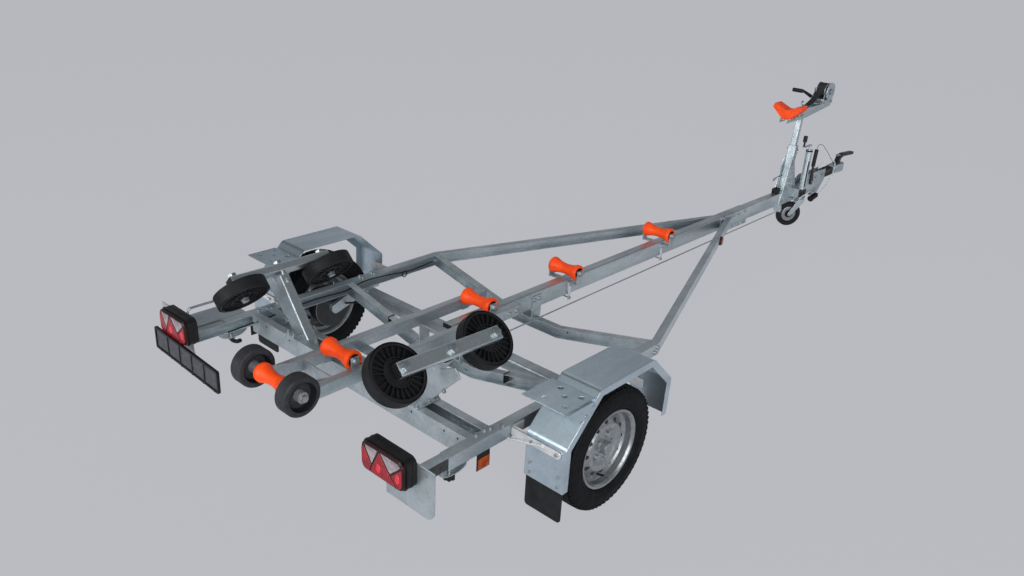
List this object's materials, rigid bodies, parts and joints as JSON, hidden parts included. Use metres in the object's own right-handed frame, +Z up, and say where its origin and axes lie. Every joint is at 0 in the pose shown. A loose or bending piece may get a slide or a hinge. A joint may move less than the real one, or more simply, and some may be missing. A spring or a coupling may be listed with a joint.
{
  "type": "boat trailer",
  "caption": "Single-axle boat trailer with braced drawbar, keel rollers, rocking side bogies, winch post, overrun coupling, jockey wheel and telescoping light booms.",
  "frame": {"origin": "centre of the footprint, on the floor", "axes": "+X forward to the coupling, +Y left, +Z up; the chassis is nose-down by 2.83 degrees, as parked"},
  "size_m": [5.8602, 2.158, 1.0575],
  "materials": {
    "galvanised_steel": "hot-dip galvanised, satin with a faint spangle",
    "dark_steel": "black paint, satin",
    "silver_steel": "silver paint, satin",
    "tyre_rubber": "matt",
    "black_rubber": "matt",
    "orange_polyurethane": "smooth, soft sheen",
    "black_plastic": "fine grain",
    "red_lens": "gloss",
    "grey_sheath": "smooth",
    "wire_rope": "stranded"
  },
  "bodies": {
    "chassis": {"drawbar": "galvanised_steel", "keel_rails": "galvanised_steel", "side_rails": "galvanised_steel", "front_cross_member": "galvanised_steel", "middle_cross_member": "galvanised_steel", "rear_cross_member": "galvanised_steel", "frame_brackets": "galvanised_steel", "braces": "galvanised_steel", "axle_beam": "dark_steel", "swing_arms": "dark_steel", "mudguards": "galvanised_steel", "step_plates": "galvanised_steel", "mud_flaps": "black_rubber", "guard_stays": "galvanised_steel", "roller_carriers": "galvanised_steel", "bogie_posts": "galvanised_steel", "winch_post": "galvanised_steel", "bow_stop": "orange_polyurethane", "winch_arm": "galvanised_steel", "coupling_housing": "galvanised_steel", "coupling_bellows": "black_rubber", "coupling_handle": "black_plastic", "handbrake_lever": "black_plastic", "breakaway_cable": "wire_rope", "coupling_head": "galvanised_steel", "light_cable": "grey_sheath", "light_gland": "black_plastic", "light_plug": "black_plastic", "brake_rod": "galvanised_steel", "jockey_tube": "galvanised_steel", "jockey_knob": "black_plastic"},
    "left_wheel": {"brake_drum_left": "dark_steel", "road_wheel_left": "silver_steel", "tyre_left": "tyre_rubber"},
    "left_bogie": {"bogie_beam_left": "galvanised_steel"},
    "left_front_bogie_wheel": {"bogie_wheel_left_front": "black_rubber"},
    "left_rear_bogie_wheel": {"bogie_wheel_left_rear": "black_rubber"},
    "left_light_boom": {"light_boom_left": "galvanised_steel", "lamp_left": "black_plastic", "lamp_lens_left": "red_lens", "number_plate_holder": "black_plastic"},
    "right_wheel": {"brake_drum_right": "dark_steel", "road_wheel_right": "silver_steel", "tyre_right": "tyre_rubber"},
    "right_bogie": {"bogie_beam_right": "galvanised_steel"},
    "right_front_bogie_wheel": {"bogie_wheel_right_front": "black_rubber"},
    "right_rear_bogie_wheel": {"bogie_wheel_right_rear": "black_rubber"},
    "right_light_boom": {"light_boom_right": "galvanised_steel", "lamp_right": "black_plastic", "lamp_lens_right": "red_lens"},
    "keel_roller_1": {"keel_roller_1": "orange_polyurethane"},
    "keel_roller_2": {"keel_roller_2": "orange_polyurethane"},
    "keel_roller_3": {"keel_roller_3": "orange_polyurethane"},
    "keel_roller_4": {"keel_roller_4": "orange_polyurethane"},
    "keel_roller_rear": {"keel_roller_rear": "orange_polyurethane", "rear_roller_wheels": "black_rubber"},
    "winch_drum": {"winch_drum": "galvanised_steel"},
    "winch_crank": {"winch_crank": "galvanised_steel"},
    "jockey_leg": {"jockey_leg": "galvanised_steel"},
    "jockey_wheel": {"jockey_wheel": "black_rubber"}
  },
  "joints": [
    {"name": "left_wheel_spin", "type": "hinge", "parent": "chassis", "child": "left_wheel", "pos_m": [-1.9386, 0.976, 0.2825], "axis": [0, 1, 0], "continuous": true},
    {"name": "left_bogie_rock", "type": "hinge", "parent": "chassis", "child": "left_bogie", "pos_m": [-2.40867, 0.534, 0.70773], "axis": [0.0343, 0.7193, 0.6938], "range_deg": [-15, 15]},
    {"name": "left_front_bogie_wheel_spin", "type": "hinge", "parent": "left_bogie", "child": "left_front_bogie_wheel", "pos_m": [-2.17151, 0.53486, 0.69511], "axis": [0.0343, 0.7193, 0.6938], "continuous": true},
    {"name": "left_rear_bogie_wheel_spin", "type": "hinge", "parent": "left_bogie", "child": "left_rear_bogie_wheel", "pos_m": [-2.64584, 0.53314, 0.72035], "axis": [0.0343, 0.7193, 0.6938], "continuous": true},
    {"name": "left_light_boom_slide", "type": "slide", "parent": "chassis", "child": "left_light_boom", "axis": [-0.9988, 0, 0.0494], "range_m": [-0.05, 0.3]},
    {"name": "right_wheel_spin", "type": "hinge", "parent": "chassis", "child": "right_wheel", "pos_m": [-1.9386, -0.976, 0.2825], "axis": [0, 1, 0], "continuous": true},
    {"name": "right_bogie_rock", "type": "hinge", "parent": "chassis", "child": "right_bogie", "pos_m": [-2.40808, -0.534, 0.71971], "axis": [-0.0343, 0.7193, -0.6938], "range_deg": [-15, 15]},
    {"name": "right_front_bogie_wheel_spin", "type": "hinge", "parent": "right_bogie", "child": "right_front_bogie_wheel", "pos_m": [-2.17128, -0.53947, 0.70234], "axis": [-0.0343, 0.7193, -0.6938], "continuous": true},
    {"name": "right_rear_bogie_wheel_spin", "type": "hinge", "parent": "right_bogie", "child": "right_rear_bogie_wheel", "pos_m": [-2.64488, -0.52853, 0.73709], "axis": [-0.0343, 0.7193, -0.6938], "continuous": true},
    {"name": "right_light_boom_slide", "type": "slide", "parent": "chassis", "child": "right_light_boom", "axis": [-0.9988, 0, 0.0494], "range_m": [-0.05, 0.3]},
    {"name": "keel_roller_1_spin", "type": "hinge", "parent": "chassis", "child": "keel_roller_1", "pos_m": [-0.05076, 0, 0.43498], "axis": [0, 1, 0], "continuous": true},
    {"name": "keel_roller_2_spin", "type": "hinge", "parent": "chassis", "child": "keel_roller_2", "pos_m": [-0.97284, 0, 0.47656], "axis": [0, 1, 0], "continuous": true},
    {"name": "keel_roller_3_spin", "type": "hinge", "parent": "chassis", "child": "keel_roller_3", "pos_m": [-1.6597, 0, 0.51652], "axis": [0, 1, 0], "continuous": true},
    {"name": "keel_roller_4_spin", "type": "hinge", "parent": "chassis", "child": "keel_roller_4", "pos_m": [-2.51127, 0, 0.56662], "axis": [0, 1, 0], "continuous": true},
    {"name": "keel_roller_rear_spin", "type": "hinge", "parent": "chassis", "child": "keel_roller_rear", "pos_m": [-2.84216, 0, 0.57697], "axis": [0, 1, 0], "continuous": true},
    {"name": "winch_drum_turn", "type": "hinge", "parent": "chassis", "child": "winch_drum", "pos_m": [2.10133, 0, 0.9914], "axis": [0, 1, 0], "continuous": true},
    {"name": "winch_crank_turn", "type": "hinge", "parent": "chassis", "child": "winch_crank", "pos_m": [2.03514, 0, 0.94862], "axis": [0, 1, 0], "continuous": true},
    {"name": "jockey_swivel", "type": "hinge", "parent": "chassis", "child": "jockey_leg", "pos_m": [1.81822, -0.084, 0.22645], "axis": [0.0494, 0, 0.9988], "continuous": true},
    {"name": "jockey_wheel_spin", "type": "hinge", "parent": "jockey_leg", "child": "jockey_wheel", "pos_m": [1.75182, -0.03554, 0.09534], "axis": [0.6286, 0.7771, -0.0311], "continuous": true}
  ],
  "couplings": [
    {"joint": "winch_crank_turn", "follows": "winch_drum_turn", "ratio": -6}
  ]
}
